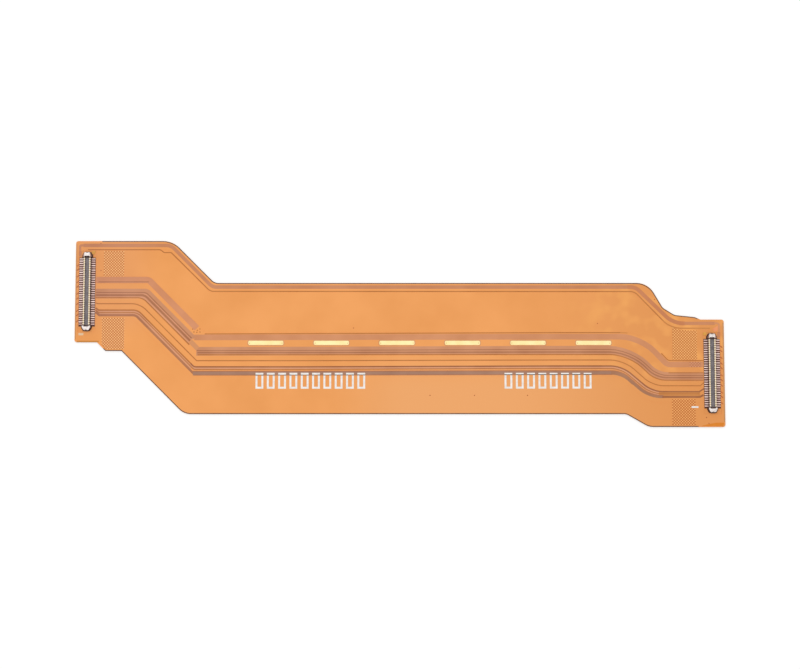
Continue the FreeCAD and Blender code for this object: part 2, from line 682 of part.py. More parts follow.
def build():
    """Builds every piece of the cable, from the table up."""
    gaps = etched_gaps()
    lower_foil = bottom_ground_foil()
    pieces = []
    for end in ("left", "right"):
        pieces.append(end_plate(f"{end}_stiffener", end, "0", "Sizes.stiffener_thickness"))
        pieces.append(end_plate(f"{end}_stiffener_adhesive", end, ADHESIVE_Z, "Sizes.adhesive_thickness"))
    pieces += [bottom_coverlay(lower_foil), lower_foil, base_film()]
    pieces += upper_tracks(gaps)
    pieces.append(top_coverlay(gaps))
    pieces += [ground_pad(number) for number in range(1, int(value("Sizes.pad_count")) + 1)]
    return pieces + plug("left") + plug("right")


def check(pieces):
    """Stops if anything in the document failed, or a piece is empty, broken or has the wrong volume."""
    for item in doc.Objects:
        if "Invalid" in item.State or "Error" in item.State:
            raise RuntimeError(f"{item.Label}: {item.getStatusString()}")
    for piece in pieces:
        if piece.Shape.isNull() or not piece.Shape.isValid() or piece.Shape.Volume <= 0:
            raise RuntimeError(f"{piece.Label} has no sound shape")
    trench = value(f"8 * {WALL_IN} * 0.5 * ({SIDE_HALF} + Sizes.trench_end_margin)"
                   " * (Sizes.housing_height - Sizes.trench_floor)")
    for side in PLUGS:
        bar = doc.getObject(f"{side}_plug_housing_bar").Shape.Volume
        housing = doc.getObject(f"{side}_plug_housing").Shape.Volume
        if abs(bar - housing - trench) > 1e-6:
            raise RuntimeError(f"the trench of the {side} plug wasn't cut")


cable = build()
doc.recompute()
check(cable)
os.makedirs("parts", exist_ok=True)
for piece in cable:
    piece.Shape.exportStep(f"parts/{piece.Label}.step")
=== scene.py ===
import math

import bpy
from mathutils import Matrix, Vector


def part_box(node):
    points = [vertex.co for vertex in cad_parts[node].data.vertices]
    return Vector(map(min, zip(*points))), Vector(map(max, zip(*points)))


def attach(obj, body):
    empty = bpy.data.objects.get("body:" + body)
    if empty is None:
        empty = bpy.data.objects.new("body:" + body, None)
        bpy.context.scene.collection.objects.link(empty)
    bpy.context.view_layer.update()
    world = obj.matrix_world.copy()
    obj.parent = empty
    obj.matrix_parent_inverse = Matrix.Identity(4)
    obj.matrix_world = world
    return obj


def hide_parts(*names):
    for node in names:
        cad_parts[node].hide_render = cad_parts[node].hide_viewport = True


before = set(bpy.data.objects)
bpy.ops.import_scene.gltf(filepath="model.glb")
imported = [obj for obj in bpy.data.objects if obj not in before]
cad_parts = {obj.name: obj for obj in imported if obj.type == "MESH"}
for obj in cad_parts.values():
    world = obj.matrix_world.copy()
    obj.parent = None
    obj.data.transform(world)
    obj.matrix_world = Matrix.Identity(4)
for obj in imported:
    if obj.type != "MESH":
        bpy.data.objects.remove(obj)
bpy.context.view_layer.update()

MM = 0.001
bpy.context.scene.view_settings.view_transform = "Standard"


# The camera.
# It looks nearly straight down on the cable, from a little towards the plugs' lower ends.
CAMERA_TILT = 5.77
camera_data = bpy.data.cameras.new("camera")
camera_data.lens = 85
camera_data.sensor_width = 36
camera_data.clip_start = 0.01
camera = bpy.data.objects.new("camera", camera_data)
camera.location = (0.116 * MM, -29.42 * MM, 290.1 * MM)
camera.rotation_euler = (math.radians(CAMERA_TILT), 0, 0)
bpy.context.scene.collection.objects.link(camera)
bpy.context.scene.camera = camera


# The table top and the light.
# A matt white sheet under soft white light from a wide lamp overhead and from all round,
# so bright that the sheet itself shows as plain white.
TABLE_SIZE = 1.6
PAPER_TONE = 0.5
PAPER_GLOW = 0.56
LAMP_SIZE = 0.6
LAMP_POWER = 2.1
LAMP_PLACE = (-0.08, 0.10, 0.62)
ROOM_LEVEL = 0.55

bpy.ops.object.select_all(action="DESELECT")
bpy.ops.mesh.primitive_plane_add(size=TABLE_SIZE, location=(0, 0, 0))
table_top = bpy.context.object
table_top.name = "table_top"

paper = bpy.data.materials.new("white_paper")
paper.use_nodes = True
tree = paper.node_tree
paper_shader = tree.nodes["Principled BSDF"]
paper_shader.inputs["Base Color"].default_value = (PAPER_TONE, PAPER_TONE, PAPER_TONE, 1)
paper_shader.inputs["Roughness"].default_value = 1
paper_shader.inputs["Specular IOR Level"].default_value = 0
ray = tree.nodes.new("ShaderNodeLightPath")
seen = tree.nodes.new("ShaderNodeMath")
seen.operation = "MAXIMUM"
mirrored = tree.nodes.new("ShaderNodeMath")
mirrored.operation = "MAXIMUM"
glow = tree.nodes.new("ShaderNodeMath")
glow.operation = "MULTIPLY"
glow.inputs[1].default_value = PAPER_GLOW
tree.links.new(ray.outputs["Is Camera Ray"], seen.inputs[0])
tree.links.new(ray.outputs["Is Glossy Ray"], mirrored.inputs[0])
tree.links.new(ray.outputs["Is Transmission Ray"], mirrored.inputs[1])
tree.links.new(mirrored.outputs[0], seen.inputs[1])
tree.links.new(seen.outputs[0], glow.inputs[0])
paper_shader.inputs["Emission Color"].default_value = (1, 1, 1, 1)
tree.links.new(glow.outputs[0], paper_shader.inputs["Emission Strength"])
table_top.data.materials.append(paper)

lamp_data = bpy.data.lights.new("soft_box", "AREA")
lamp_data.shape = "SQUARE"
lamp_data.size = LAMP_SIZE
lamp_data.energy = LAMP_POWER
lamp = bpy.data.objects.new("soft_box", lamp_data)
lamp.location = LAMP_PLACE
lamp.rotation_euler = (-Vector(LAMP_PLACE)).to_track_quat("-Z", "Y").to_euler()
bpy.context.scene.collection.objects.link(lamp)

room = bpy.data.worlds.new("room")
room.use_nodes = True
bpy.context.scene.world = room
tree = room.node_tree
sky = tree.nodes["Background"]
sky.inputs["Color"].default_value = (1, 1, 1, 1)
ray = tree.nodes.new("ShaderNodeLightPath")
level = tree.nodes.new("ShaderNodeMapRange")
level.inputs["To Min"].default_value = ROOM_LEVEL
level.inputs["To Max"].default_value = 1
tree.links.new(ray.outputs["Is Camera Ray"], level.inputs["Value"])
tree.links.new(level.outputs["Result"], sky.inputs["Strength"])


# The film: a base sheet and two cover sheets of amber polyimide.
# They are laminated over etched copper, whose mottled tone shows through, and satin to the touch.
def screen(red, green, blue):
    """The linear colour of one that a screen shows with these values from 0 to 255."""
    return tuple(((c / 255 + 0.055) / 1.055) ** 2.4 if c > 10 else c / 255 / 12.92
                 for c in (red, green, blue)) + (1,)


def new_finish(name, roughness, specular=0.5, metallic=0.0):
    """A material with one plain shader; gives both."""
    finish = bpy.data.materials.new(name)
    finish.use_nodes = True
    shader = finish.node_tree.nodes["Principled BSDF"]
    shader.inputs["Roughness"].default_value = roughness
    shader.inputs["Specular IOR Level"].default_value = specular
    shader.inputs["Metallic"].default_value = metallic
    return finish, shader


def drifting_colour(finish, shader, darker, lighter, patch, stretch=(1, 1, 1)):
    """Lets the colour drift between two tones, in soft patches of about the given size."""
    tree = finish.node_tree
    place = tree.nodes.new("ShaderNodeTexCoord")
    scaled = tree.nodes.new("ShaderNodeMapping")
    scaled.inputs["Scale"].default_value = stretch
    cloud = tree.nodes.new("ShaderNodeTexNoise")
    cloud.inputs["Scale"].default_value = 1 / patch
    cloud.inputs["Detail"].default_value = 3
    tones = tree.nodes.new("ShaderNodeValToRGB")
    tones.color_ramp.elements[0].position = 0.35
    tones.color_ramp.elements[0].color = darker
    tones.color_ramp.elements[1].position = 0.65
    tones.color_ramp.elements[1].color = lighter
    tree.links.new(place.outputs["Object"], scaled.inputs["Vector"])
    tree.links.new(scaled.outputs["Vector"], cloud.inputs["Vector"])
    tree.links.new(cloud.outputs["Fac"], tones.inputs["Fac"])
    tree.links.new(tones.outputs["Color"], shader.inputs["Base Color"])
    return tones.outputs["Color"]


def fine_grain(finish, shader, size, depth):
    """A faint unevenness of the surface, with grains of about the given size."""
    tree = finish.node_tree
    place = tree.nodes.new("ShaderNodeTexCoord")
    grain = tree.nodes.new("ShaderNodeTexNoise")
    grain.inputs["Scale"].default_value = 1 / size
    grain.inputs["Detail"].default_value = 2
    bump = tree.nodes.new("ShaderNodeBump")
    bump.inputs["Strength"].default_value = 0.25
    bump.inputs["Distance"].default_value = depth
    tree.links.new(place.outputs["Object"], grain.inputs["Vector"])
    tree.links.new(grain.outputs["Fac"], bump.inputs["Height"])
    tree.links.new(bump.outputs["Normal"], shader.inputs["Normal"])


def mix_in(finish, shader, colour, other, share):
    """Mixes another colour into the one that a node output gives, by the share that another gives."""
    tree = finish.node_tree
    blend = tree.nodes.new("ShaderNodeMix")
    blend.data_type = "RGBA"
    blend.inputs[7].default_value = other
    tree.links.new(share, blend.inputs[0])
    tree.links.new(colour, blend.inputs[6])
    tree.links.new(blend.outputs[2], shader.inputs["Base Color"])
    return blend.outputs[2]


def share_along(finish, axis, start, end, most=1.0):
    """A node output that goes from 0 to 1, or to another value, between two places on an axis."""
    tree = finish.node_tree
    place = tree.nodes.new("ShaderNodeTexCoord")
    axes = tree.nodes.new("ShaderNodeSeparateXYZ")
    share = tree.nodes.new("ShaderNodeMapRange")
    share.interpolation_type = "SMOOTHSTEP"
    share.inputs["From Min"].default_value = start
    share.inputs["From Max"].default_value = end
    share.inputs["To Max"].default_value = most
    tree.links.new(place.outputs["Object"], axes.inputs[0])
    tree.links.new(axes.outputs[axis], share.inputs["Value"])
    return share.outputs["Result"]


def both(finish, one, other):
    """A node output with the product of two shares."""
    tree = finish.node_tree
    share = tree.nodes.new("ShaderNodeMath")
    share.operation = "MULTIPLY"
    tree.links.new(one, share.inputs[0])
    tree.links.new(other, share.inputs[1])
    return share.outputs[0]


def blotches(finish, size):
    """A node output that goes from 0 to 1 in soft blotches of about the given size."""
    tree = finish.node_tree
    place = tree.nodes.new("ShaderNodeTexCoord")
    cloud = tree.nodes.new("ShaderNodeTexNoise")
    cloud.inputs["Scale"].default_value = 1 / size
    cloud.inputs["Detail"].default_value = 1
    edge = tree.nodes.new("ShaderNodeMapRange")
    edge.inputs["From Min"].default_value = 0.45
    edge.inputs["From Max"].default_value = 0.7
    tree.links.new(place.outputs["Object"], cloud.inputs["Vector"])
    tree.links.new(cloud.outputs["Fac"], edge.inputs["Value"])
    return edge.outputs["Result"]


FILM_ROUGHNESS = 0.5
FILM_SPECULAR = 0.15
FILM_GRAIN = 1.5 * MM
FILM_GRAIN_DEPTH = 0.02 * MM
BLOTCH_SIZE = 2.4 * MM
DULL_TONE = (150, 110, 120)


def film_finish(name, darker, lighter, patch=9 * MM, paler=None, deeper=None, mottle=None):
    """Polyimide over copper that drifts between two tones, and is a little dull beside the left plug.

    The other tones are those that it goes to at the lower right, to the right and in blotches at the upper right.
    """
    finish, shader = new_finish(name, FILM_ROUGHNESS, FILM_SPECULAR)
    colour = drifting_colour(finish, shader, screen(*darker), screen(*lighter), patch)
    if paler:
        low = share_along(finish, "Y", -2 * MM, -9 * MM)
        low_right = both(finish, low, share_along(finish, "X", -12 * MM, 2 * MM))
        colour = mix_in(finish, shader, colour, screen(*paler), low_right)
    if deeper:
        colour = mix_in(finish, shader, colour, screen(*deeper), share_along(finish, "X", 15 * MM, 46 * MM))
        right = share_along(finish, "X", 24 * MM, 34 * MM)
        high_right = both(finish, right, share_along(finish, "Y", -9 * MM, -4 * MM))
        colour = mix_in(finish, shader, colour, screen(*mottle),
                        both(finish, high_right, blotches(finish, BLOTCH_SIZE)))
    left = share_along(finish, "X", -36 * MM, -43 * MM, 0.1)
    high_left = both(finish, left, share_along(finish, "Y", -1 * MM, 3 * MM))
    mix_in(finish, shader, colour, screen(*DULL_TONE), high_left)
    fine_grain(finish, shader, FILM_GRAIN, FILM_GRAIN_DEPTH)
    return finish


def dress(node, finish):
    """Gives a CAD node its finish."""
    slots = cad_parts[node].data.materials
    slots.clear()
    slots.append(finish)


orange_film = film_finish("orange_film", (239, 159, 88), (247, 167, 96), paler=(243, 170, 106),
                          deeper=(232, 154, 86), mottle=(246, 170, 94))
for node in ("top_coverlay", "bottom_coverlay", "base_film"):
    dress(node, orange_film)
for side in ("left", "right"):
    dress(f"{side}_stiffener", film_finish(f"{side}_stiffener_film", (206, 132, 74), (222, 146, 84)))
    dress(f"{side}_stiffener_adhesive", film_finish(f"{side}_bond", (200, 150, 96), (216, 168, 112)))


# The copper under the cover sheet.
# It is etched foil, rosy and a little streaked from rolling, and hardly shows at the film's edges.
copper, copper_shader = new_finish("copper_foil", 0.35, metallic=1.0)
drifting_colour(copper, copper_shader, screen(196, 120, 92), screen(222, 150, 116), 2 * MM)
for node in ("bottom_ground_foil", "edge_tracks", "upper_ground_plane", "via_track", "pad_rail", "fine_track_1",
             "fine_track_2", "fine_track_3", "power_track_1", "power_track_2", "lower_bundle",
             "lower_ground_plane"):
    dress(node, copper)


# The ground pads on the strip.
# Bare copper plated with gold, bright and pale, each in its own window of the cover sheet.
pad_gold, pad_shader = new_finish("pad_gold", 0.45, metallic=0.2)
drifting_colour(pad_gold, pad_shader, screen(246, 224, 154), screen(252, 234, 170), 1.2 * MM)
for node in ("ground_pad_1", "ground_pad_2", "ground_pad_3", "ground_pad_4", "ground_pad_5", "ground_pad_6"):
    dress(node, pad_gold)


# Lines of the thin pieces that are drawn here.
# They are drawn a thousand times larger, because skins of a few micrometres are too fine to widen at
# their real size, and then made small.
BEND_STEPS = 6


def draw_line(name, corners, closed=False):
    """A line of edges through corners, each a point and the radius of its bend, left in edit mode."""
    bpy.ops.object.select_all(action="DESELECT")
    bpy.ops.mesh.primitive_plane_add(size=2, location=(0, 0, 0))
    line = bpy.context.object
    line.name = name
    line.data.name = name
    bpy.ops.object.mode_set(mode="EDIT")
    bpy.ops.mesh.select_mode(type="VERT")
    bpy.ops.mesh.select_all(action="DESELECT")
    bpy.ops.object.mode_set(mode="OBJECT")
    for corner in line.data.vertices[1:]:
        corner.select = True
    start = line.data.vertices[0].co.copy()
    bpy.ops.object.mode_set(mode="EDIT")
    bpy.ops.mesh.delete(type="VERT")
    bpy.ops.mesh.select_all(action="SELECT")
    points = [Vector(point) for point, _ in corners]
    bpy.ops.transform.translate(value=points[0] - start)
    for here, there in zip(points, points[1:] + points[:1] * closed):
        bpy.ops.mesh.extrude_vertices_move(TRANSFORM_OT_translate={"value": there - here})
    if closed:
        bpy.ops.mesh.select_all(action="SELECT")
        bpy.ops.mesh.remove_doubles(threshold=0.001)
    for i, (_, radius) in enumerate(corners):
        if not radius:
            continue
        before, after = points[i - 1], points[(i + 1) % len(points)]
        turn = (points[i] - before).angle(after - points[i])
        bpy.ops.mesh.select_all(action="DESELECT")
        bpy.ops.object.mode_set(mode="OBJECT")
        nearest = min(line.data.vertices, key=lambda v: (v.co - points[i]).length)
        nearest.select = True
        bpy.ops.object.mode_set(mode="EDIT")
        bpy.ops.mesh.bevel(offset=radius * math.tan(turn / 2), segments=BEND_STEPS, affect="VERTICES")
    bpy.ops.mesh.select_all(action="SELECT")
    return line


def widen(line, direction, thickness):
    """Makes a ribbon of the line in edit mode, and then a wall of it with a thickness."""
    bpy.ops.mesh.extrude_region_move(TRANSFORM_OT_translate={"value": direction})
    bpy.ops.mesh.select_all(action="SELECT")
    bpy.ops.mesh.normals_make_consistent(inside=False)
    bpy.ops.object.mode_set(mode="OBJECT")
    wall = line.modifiers.new("wall", "SOLIDIFY")
    wall.thickness = thickness
    wall.offset = 0
    wall.use_even_offset = True
    bpy.ops.object.modifier_apply(modifier="wall")


def repeat_piece(piece, step, count):
    """Repeats the piece with even steps."""
    row = piece.modifiers.new("row", "ARRAY")
    row.use_relative_offset = False
    row.use_constant_offset = True
    row.constant_offset_displace = step
    row.count = count
    bpy.ops.object.modifier_apply(modifier="row")


def put_in_place(piece, finish):
    """Turns all faces outwards, makes the piece small, and gives it its body and, if it has none, its finish."""
    bpy.ops.object.mode_set(mode="EDIT")
    bpy.ops.mesh.select_all(action="SELECT")
    bpy.ops.mesh.normals_make_consistent(inside=False)
    bpy.ops.object.mode_set(mode="OBJECT")
    piece.scale = (MM, MM, MM)
    bpy.ops.object.transform_apply(location=False, rotation=False, scale=True)
    if not piece.data.materials:
        piece.data.materials.append(finish)
    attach(piece, "root")


# The tracks' tones on the cover sheet.
# Where guard tracks and gaps lie under the film it is darker and stands a hair proud, so each is a
# thin strip of the film's own skin, laid along the track from plug to plug.
SKIN_RISE = 0.003
SKIN_SINK = 0.001
LAYER = 0.0015
COVER_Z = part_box("top_coverlay")[1][2] / MM
BASE_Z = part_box("base_film")[1][2] / MM


def lay_strip(name, route, width, layer=0, level=COVER_Z, closed=False):
    """A flat strip of even width along corners in millimetres: x, y and the bend's radius."""
    low = level + layer * LAYER - SKIN_SINK
    strip = draw_line(name, [((x, y, low), radius) for x, y, radius in route], closed)
    widen(strip, (0, 0, SKIN_SINK + SKIN_RISE), width)
    return strip


SKIN_PATCH = 4 * MM
skins = {}
for tone, darker, lighter in (
    ("rose", (200, 132, 91), (210, 142, 101)),
    ("red", (199, 126, 82), (209, 136, 92)),
    ("warm_rose", (209, 140, 96), (219, 150, 106)),
    ("coral", (212, 141, 99), (222, 151, 109)),
    ("dusty", (204, 140, 100), (214, 150, 110)),
    ("pale_rose", (216, 151, 112), (226, 161, 122)),
    ("brown", (158, 96, 60), (170, 108, 70)),
    ("umber", (174, 112, 77), (186, 124, 87)),
    ("tan", (184, 112, 56), (196, 124, 66)),
    ("amber", (202, 130, 68), (212, 140, 76)),
    ("faint", (216, 149, 100), (226, 159, 110)),
    ("grey", (164, 121, 99), (176, 133, 111)),
    ("taupe", (164, 114, 84), (178, 128, 98)),
):
    skins[tone] = film_finish(f"{tone}_skin", darker, lighter, SKIN_PATCH)
TAIL_GAP = 0.11
LEFT_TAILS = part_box("left_solder_lands")[1][0] / MM + TAIL_GAP
RIGHT_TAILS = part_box("right_solder_lands")[0][0] / MM - TAIL_GAP
STRIPS = [
    # guard track along the upper edge, and its gap
    ("edge_guard_start", [(-49.42, 12.85, 0), (-49.42, 13.72, 0.2), (-48.7, 13.72, 0)], 0.36, "rose", 1),
    ("edge_guard_strip", [(-48.9, 13.72, 0), (-35.35, 13.72, 1.6), (-28.87, 7.22, 1.4), (35.3, 7.22, 0)],
     0.55, "rose", 0),
    ("edge_guard_sweep", [(35.25, 7.22, 0), (36.5, 7.22, 1.6), (42.25, 1.58, 3.6), (44.0, 1.58, 0)],
     0.6, "red", 2),
    ("edge_guard_foot", [(43.9, 1.58, 0), (48.7, 1.58, 0)], 0.5, "rose", 1),
    ("edge_guard_end", [(48.6, 1.62, 0), (49.3, 1.55, 0.3), (49.3, 0.2, 0)], 0.3, "warm_rose", 2),
    ("edge_gap_strip", [(-48.2, 13.06, 0), (-37.0, 13.06, 0.5), (-36.4, 12.6, 0.3), (-35.3, 12.6, 0.3),
                        (-29.2, 6.56, 1.2), (36.32, 6.53, 1.4), (40.6, 2.1, 0)], 0.16, "tan", 0),
    ("edge_gap_foot", [(40.55, 2.15, 0), (41.85, 0.83, 3.4), (47.9, 0.83, 0)], 0.17, "amber", 1),
    # gap under the upper ground plane
    ("plane_gap_strip", [(-30.0, -0.06, 0), (23.5, 0.13, 0), (34.1, 0.14, 0)], 0.15, "tan", 0),
    ("plane_gap_sweep", [(34.05, 0.14, 0), (35.2, 0.1, 0)], 0.1, "amber", 1),
    ("plane_gap_end", [(40.35, -3.06, 0), (41.4, -4.17, 0.6), (RIGHT_TAILS, -4.17, 0)], 0.15, "tan", 0),
    # short track that ends in vias
    ("via_strip", [(LEFT_TAILS, 8.33, 0), (-38.71, 8.33, 0.8), (-31.2, 0.82, 0)], 0.97, "coral", 0),
    ("via_rim_strip", [(-46.5, 8.03, 0), (-38.7, 8.03, 0)], 0.13, "umber", 1),
    # guard track over the pads, from the plug to the lower bend, and on along the strip
    ("middle_guard_lead", [(LEFT_TAILS, 6.66, 0), (-38.92, 6.66, 0.8), (-31.58, -0.68, 0)], 0.6, "dusty", 1),
    ("middle_guard_strip", [(-31.6, -0.6, 0), (23.5, -0.48, 0), (37.13, -0.48, 7.2), (41.21, -4.78, 1.0),
                            (RIGHT_TAILS, -4.78, 0)], 0.87, "warm_rose", 0),
    ("lead_shade_strip", [(LEFT_TAILS, 5.95, 0), (-39.27, 5.95, 0.8), (-32.2, -1.12, 0)], 1.0, "pale_rose", 2),
    ("lead_line_1", [(LEFT_TAILS, 6.35, 0), (-39.09, 6.35, 0.9), (-32.0, -0.74, 0)], 0.2, "umber", 3),
    ("lead_line_2", [(LEFT_TAILS, 5.96, 0), (-39.3, 5.96, 1.2), (-32.22, -1.12, 0)], 0.36, "umber", 3),
    ("lead_line_3", [(LEFT_TAILS, 5.57, 0), (-39.64, 5.57, 1.8), (-32.35, -1.72, 0)], 0.17, "tan", 3),
    # guard track under the pads, with its fine lines
    ("pad_guard_strip", [(-31.25, -2.75, 0), (-15.3, -2.71, 0), (23.5, -2.58, 0), (35.6, -2.58, 7.6),
                         (39.62, -6.64, 3.7), (RIGHT_TAILS, -6.64, 0)], 1.34, "dusty", 0),
    ("pad_guard_rim", [(41.4, -6.08, 0), (RIGHT_TAILS, -6.08, 0)], 0.13, "tan", 2),
    ("pad_guard_lead", [(-32.2, -1.2, 0), (-31.05, -2.35, 0)], 0.75, "faint", 1),
    ("fine_strip_1", [(-31.2, -2.64, 0), (-15.3, -2.61, 0), (23.5, -2.46, 0), (35.6, -2.46, 7.8),
                      (39.72, -6.48, 3.7), (RIGHT_TAILS, -6.48, 0)], 0.15, "umber", 2),
    ("fine_strip_2", [(-31.1, -2.96, 0), (-15.3, -2.95, 0), (23.5, -2.86, 0), (35.44, -2.86, 7.4),
                      (39.57, -6.82, 3.7), (RIGHT_TAILS, -6.82, 0)], 0.22, "umber", 2),
    ("fine_strip_3", [(-31.05, -3.28, 0), (-15.3, -3.27, 0), (23.5, -3.23, 0), (35.27, -3.24, 7.0),
                      (39.41, -7.2, 3.7), (RIGHT_TAILS, -7.2, 0)], 0.16, "tan", 2),
    # gap between the two power tracks
    ("power_strip", [(LEFT_TAILS, 4.75, 0), (-46.5, 4.64, 0), (-40.03, 4.64, 3.0), (-31.2, -4.19, 0),
                     (-15.3, -4.19, 0), (23.5, -4.09, 0), (34.54, -4.09, 5.2), (38.97, -8.06, 4.2), (46.3, -8.06, 0),
                     (46.9, -7.5, 0)], 0.15, "tan", 0),
    # gaps round the lowest fine track
    ("wide_gap_lead", [(LEFT_TAILS, 4.0, 0), (-46.4, 3.63, 0), (-40.36, 3.63, 1.6), (-32.01, -4.71, 0)],
     0.22, "tan", 1),
    ("wide_gap_strip", [(-32.1, -4.63, 0), (-31.58, -5.15, 0.6), (-15.3, -5.15, 0), (23.5, -5.02, 0),
                        (34.24, -5.02, 4.4), (38.92, -8.98, 4.2), (46.1, -8.98, 0), (46.85, -8.5, 0)],
     0.21, "brown", 2),
    ("fine_guard_lead", [(LEFT_TAILS, 3.7, 0), (-46.3, 3.25, 0), (-40.5, 3.25, 1.4), (-31.95, -5.3, 0)],
     0.6, "pale_rose", 0),
    ("fine_guard_strip", [(-31.8, -5.35, 0), (-15.3, -5.35, 0), (23.5, -5.24, 0), (34.14, -5.24, 4.3),
                          (38.79, -9.2, 4.2), (39.9, -9.2, 0)], 0.5, "pale_rose", 1),
    ("lower_fine_strip", [(LEFT_TAILS, 3.68, 0), (-46.4, 3.25, 0), (-40.4, 3.25, 1.6), (-31.6, -5.55, 0.5),
                          (-15.3, -5.54, 0), (23.5, -5.39, 0), (34.11, -5.39, 4.1), (38.69, -9.3, 4.4),
                          (46.1, -9.3, 0)], 0.15, "tan", 2),
    ("lower_field_strip", [(39.6, -9.38, 0), (46.25, -9.38, 0)], 0.6, "amber", 0),
    # lower guard track, narrow on both leads and wide along the strip, dark along its sides
    ("lower_guard_lead", [(LEFT_TAILS, 3.36, 0), (-46.3, 2.85, 0), (-40.68, 2.85, 1.0), (-31.66, -6.17, 0)],
     0.36, "umber", 1),
    ("lower_guard_strip", [(-31.75, -6.13, 0), (-15.3, -6.12, 0), (23.5, -6.05, 0), (32.8, -6.03, 0)],
     0.68, "grey", 2),
    ("lower_guard_bend", [(32.6, -6.09, 0), (34.2, -6.09, 3.6), (36.0, -7.68, 0)], 0.54, "taupe", 3),
    ("lower_guard_sweep", [(35.7, -7.4, 0), (38.38, -9.74, 4.6), (40.6, -9.74, 0)], 0.46, "taupe", 2),
    ("lower_guard_rim_1", [(-31.8, -5.84, 0), (-15.3, -5.83, 0), (23.5, -5.75, 0), (34.21, -5.77, 3.7),
                           (38.53, -9.56, 4.4), (40.5, -9.56, 0)], 0.15, "umber", 4),
    ("lower_guard_rim_2", [(-31.6, -6.43, 0), (-15.3, -6.42, 0), (23.5, -6.35, 0), (32.8, -6.33, 0)],
     0.12, "umber", 4),
    ("lower_guard_end", [(40.4, -9.79, 0), (46.2, -9.79, 0), (46.75, -9.47, 0)], 0.28, "brown", 5),
]
for name, route, width, tone, layer in STRIPS:
    put_in_place(lay_strip(name, route, width, layer), skins[tone])
for side, x, high in (("left", -49.38, 12.9), ("right", 49.24, 0.25)):
    stub = lay_strip(f"{side}_edge_guard_end", [(x, high, 0), (x, high - 0.9, 0)], 0.4, level=BASE_Z)
    put_in_place(stub, skins["rose"])


# The cut edges of the film, and their shadow.
# The long edges are painted dark, partly the film's cut side and partly painted shadow beside it, and the stiffened
# ends are hardly marked.
EDGE_SHADOW_WIDTH = 0.14
# Painted shadow: this dark skin along the long edges stands for the cut side and the shadow it casts.
edge_and_shadow_skin = film_finish("edge_and_shadow_skin", (92, 58, 38), (122, 80, 54), 3 * MM)
put_in_place(lay_strip("upper_edge_and_shadow", [
    (-46.0, 14.33, 0), (-35.13, 14.33, 3.43), (-28.58, 7.78, 1.47), (38.38, 7.78, 2.93), (40.6, 3.95, 1.27),
    (42.44, 2.8, 1.27), (45.55, 2.48, 0), (46.0, 2.3, 0)], EDGE_SHADOW_WIDTH), edge_and_shadow_skin)
put_in_place(lay_strip("lower_edge_and_shadow", [
    (45.9, -14.33, 0), (38.35, -14.33, 2.37), (34.89, -12.35, 1.33), (-33.03, -12.35, 2.43), (-42.77, -2.61, 0),
    (-45.24, -2.61, 0), (-45.55, -2.3, 0)], EDGE_SHADOW_WIDTH), edge_and_shadow_skin)


# The rims of the pad windows.
# The cover sheet is cut out round each pad with rounded corners, and its rim laps over the gold.
RIM_WIDTH = 0.14
RIM_LAP = 0.01
RIM_BEND = 0.28
PAD_COUNT = 6
pad_low, pad_high = (tuple(c / MM for c in corner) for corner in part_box("ground_pad_1"))
PAD_PITCH = (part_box("ground_pad_2")[0][0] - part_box("ground_pad_1")[0][0]) / MM
out = RIM_WIDTH / 2 - RIM_LAP
rim_left, rim_right = pad_low[0] - out, pad_high[0] + out
rim_foot, rim_top = pad_low[1] - out, pad_high[1] + out
rim_corners = [(rim_left, rim_foot, RIM_BEND), (rim_left, rim_top, RIM_BEND), (rim_right, rim_top, RIM_BEND),
               (rim_right, rim_foot, RIM_BEND)]
rims = lay_strip("pad_window_rims", rim_corners, RIM_WIDTH, 1, closed=True)
repeat_piece(rims, (PAD_PITCH, 0, 0), PAD_COUNT)
put_in_place(rims, film_finish("rim_skin", (212, 146, 98), (222, 156, 108), 2 * MM))


# The test pins' marks on the pads.
# Each pad has a tiny dull dimple near both its ends.
def draw_dimple(name, place, radius, sides, height, rim, dent):
    """A low disc at a place, with its top pushed in inside a rim."""
    bpy.ops.object.select_all(action="DESELECT")
    bpy.ops.mesh.primitive_circle_add(vertices=sides, radius=radius, fill_type="NGON", location=(0, 0, 0))
    disc = bpy.context.object
    disc.name = name
    bpy.ops.object.mode_set(mode="EDIT")
    bpy.ops.mesh.select_all(action="SELECT")
    bpy.ops.transform.translate(value=place)
    bpy.ops.mesh.extrude_region_move(TRANSFORM_OT_translate={"value": (0, 0, height)})
    bpy.ops.mesh.inset(thickness=rim)
    bpy.ops.transform.translate(value=(0, 0, -dent))
    bpy.ops.object.mode_set(mode="OBJECT")
    return disc


MARK_INSET = 0.22
MARK_SHIFT = 0.04
mark_place = (pad_low[0] + MARK_INSET, (pad_low[1] + pad_high[1]) / 2 - MARK_SHIFT, pad_high[2] - SKIN_SINK)
marks = draw_dimple("pad_pin_marks", mark_place, radius=0.07, sides=10, height=0.003, rim=0.02, dent=0.001)
repeat_piece(marks, (pad_high[0] - pad_low[0] - 2 * MARK_INSET, 0, 0), 2)
repeat_piece(marks, (PAD_PITCH, 0, 0), PAD_COUNT)
put_in_place(marks, film_finish("pin_mark", (196, 150, 84), (208, 164, 96), 1 * MM))


# The hatched copper beside the plugs.
# There the ground foil is etched to a fine slanting mesh, so that the film bends, and its openings
# show through the cover sheet as a lattice of lighter dots.
HATCH_PITCH = 0.3


